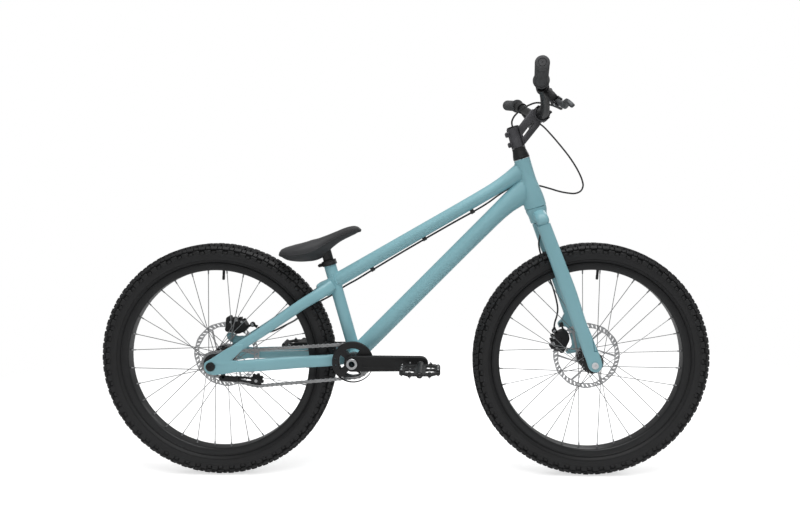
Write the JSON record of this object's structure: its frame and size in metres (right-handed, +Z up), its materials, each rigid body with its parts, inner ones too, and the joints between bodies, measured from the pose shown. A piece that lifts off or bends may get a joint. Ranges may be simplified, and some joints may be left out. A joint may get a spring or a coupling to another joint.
{
  "type": "trials bicycle",
  "caption": "Street trials bicycle: low sloping frame, small saddle, straight fork, disc brakes, knobbly tyres, short chain drive with a bash guard and a sprung tensioner.",
  "frame": {"origin": "on the ground under the middle of the bike's box, midway between the two axles", "axes": "+X forward along the bike, +Y to the rider's left, +Z up; the chain is on the right at -Y and the brake discs are on the left at +Y"},
  "size_m": [1.602, 0.7382, 1.0305],
  "materials": {
    "frame_paint": "satin",
    "anodised": "satin black anodised",
    "blade_alloy": "dark grey anodised",
    "steel": "bright",
    "rotor_steel": "ground",
    "saddle_cover": "satin black",
    "grip_rubber": "matt",
    "hose_jacket": "satin black",
    "tyre_rubber": "matt",
    "pad_lining": "matt"
  },
  "bodies": {
    "frame": {"head_tube": "frame_paint", "top_tube": "frame_paint", "down_tube": "frame_paint", "seat_tube": "frame_paint", "bb_shell": "frame_paint", "chainstay_right": "frame_paint", "chainstay_left": "frame_paint", "seatstay_right": "frame_paint", "seatstay_left": "frame_paint", "headset_bearing_lower": "steel", "headset_bearing_upper": "steel", "seat_collar": "anodised", "rear_caliper": "anodised", "tensioner_body": "anodised", "rear_hose_frame": "hose_jacket", "rear_hose_loop": "hose_jacket", "rear_axle": "anodised", "chain": "steel"},
    "steering": {"fork_crown": "frame_paint", "fork_leg_right": "frame_paint", "fork_leg_left": "frame_paint", "headset_cover": "anodised", "top_cap": "anodised", "stem": "anodised", "stem_faceplate": "anodised", "handlebar": "anodised", "grip_right": "grip_rubber", "grip_left": "grip_rubber", "lever_clamp_right": "anodised", "lever_clamp_left": "anodised", "front_axle": "steel", "front_caliper": "anodised", "front_hose": "hose_jacket"},
    "front_wheel": {"front_tyre": "tyre_rubber", "front_rim": "anodised", "front_hub": "anodised", "front_rotor": "rotor_steel"},
    "rear_wheel": {"rear_tyre": "tyre_rubber", "rear_rim": "anodised", "rear_hub": "anodised", "rear_rotor": "rotor_steel"},
    "drive_sprocket": {"rear_sprocket": "steel"},
    "crank": {"crank_right": "anodised", "crank_left": "anodised", "chainring": "steel", "bash_guard": "anodised", "pedal_axle_right": "steel", "pedal_axle_left": "steel"},
    "pedal_right_body": {"pedal_right": "anodised"},
    "pedal_left_body": {"pedal_left": "anodised"},
    "tensioner": {"tensioner_arm": "anodised"},
    "tensioner_wheel": {"tensioner_pulley": "anodised"},
    "seat": {"seatpost": "anodised", "saddle": "saddle_cover"},
    "lever_right": {"lever_blade_right": "blade_alloy"},
    "lever_left": {"lever_blade_left": "blade_alloy"},
    "front_pad_left_body": {"front_pad_left": "pad_lining"},
    "front_pad_right_body": {"front_pad_right": "pad_lining"},
    "rear_pad_left_body": {"rear_pad_left": "pad_lining"},
    "rear_pad_right_body": {"rear_pad_right": "pad_lining"}
  },
  "joints": [
    {"name": "steering", "type": "hinge", "parent": "frame", "child": "steering", "pos_m": [0.34381, 0, 0.71273], "axis": [-0.2857, 0, 0.9583], "range_deg": [-80, 80], "deforming": ["rear_hose_loop"]},
    {"name": "front_wheel_spin", "type": "hinge", "parent": "steering", "child": "front_wheel", "pos_m": [0.491, 0, 0.31], "axis": [0, 1, 0], "continuous": true},
    {"name": "rear_wheel_spin", "type": "hinge", "parent": "frame", "child": "rear_wheel", "pos_m": [-0.491, 0, 0.31], "axis": [0, 1, 0], "continuous": true},
    {"name": "crank_turn", "type": "hinge", "parent": "frame", "child": "crank", "pos_m": [-0.1285, 0, 0.3185], "axis": [0, 1, 0], "continuous": true, "deforming": ["chain"]},
    {"name": "sprocket_turn", "type": "hinge", "parent": "frame", "child": "drive_sprocket", "pos_m": [-0.491, 0, 0.31], "axis": [0, 1, 0], "continuous": true},
    {"name": "pedal_right_spin", "type": "hinge", "parent": "crank", "child": "pedal_right_body", "pos_m": [0.0465, -0.1385, 0.3185], "axis": [0, 1, 0], "continuous": true},
    {"name": "pedal_left_spin", "type": "hinge", "parent": "crank", "child": "pedal_left_body", "pos_m": [-0.3035, 0.1385, 0.3185], "axis": [0, 1, 0], "continuous": true},
    {"name": "tensioner_swing", "type": "hinge", "parent": "frame", "child": "tensioner", "pos_m": [-0.432, -0.0575, 0.273], "axis": [0, 1, 0], "range_deg": [-6, 12], "stiffness_Nm_per_rad": 0.5},
    {"name": "tensioner_wheel_turn", "type": "hinge", "parent": "tensioner", "child": "tensioner_wheel", "pos_m": [-0.38049, -0.05, 0.26755], "axis": [0, 1, 0], "continuous": true},
    {"name": "seatpost_slide", "type": "slide", "parent": "frame", "child": "seat", "axis": [-0.2588, 0, 0.9659], "range_m": [0, 0.05]},
    {"name": "brake_lever_right", "type": "hinge", "parent": "steering", "child": "lever_right", "pos_m": [0.35816, -0.23386, 0.95372], "axis": [-0.766, -0.0082, -0.6428], "range_deg": [0, 16], "stiffness_Nm_per_rad": 0.6},
    {"name": "brake_lever_left", "type": "hinge", "parent": "steering", "child": "lever_left", "pos_m": [0.35816, 0.23386, 0.95372], "axis": [0.766, -0.0082, 0.6428], "range_deg": [0, 16], "stiffness_Nm_per_rad": 0.6},
    {"name": "front_pad_left_slide", "type": "slide", "parent": "steering", "child": "front_pad_left_body", "axis": [0, -1, 0], "range_m": [0, 0.00045]},
    {"name": "front_pad_right_slide", "type": "slide", "parent": "steering", "child": "front_pad_right_body", "axis": [0, 1, 0], "range_m": [0, 0.00045]},
    {"name": "rear_pad_left_slide", "type": "slide", "parent": "frame", "child": "rear_pad_left_body", "axis": [0, -1, 0], "range_m": [0, 0.00045]},
    {"name": "rear_pad_right_slide", "type": "slide", "parent": "frame", "child": "rear_pad_right_body", "axis": [0, 1, 0], "range_m": [0, 0.00045]}
  ],
  "couplings": [
    {"joint": "sprocket_turn", "follows": "crank_turn", "ratio": 1.4667},
    {"joint": "tensioner_wheel_turn", "follows": "crank_turn", "ratio": 2.75},
    {"joint": "front_pad_left_slide", "follows": "brake_lever_right", "m_per_rad": 0.001611},
    {"joint": "front_pad_right_slide", "follows": "brake_lever_right", "m_per_rad": 0.001611},
    {"joint": "rear_pad_left_slide", "follows": "brake_lever_left", "m_per_rad": 0.001611},
    {"joint": "rear_pad_right_slide", "follows": "brake_lever_left", "m_per_rad": 0.001611}
  ]
}
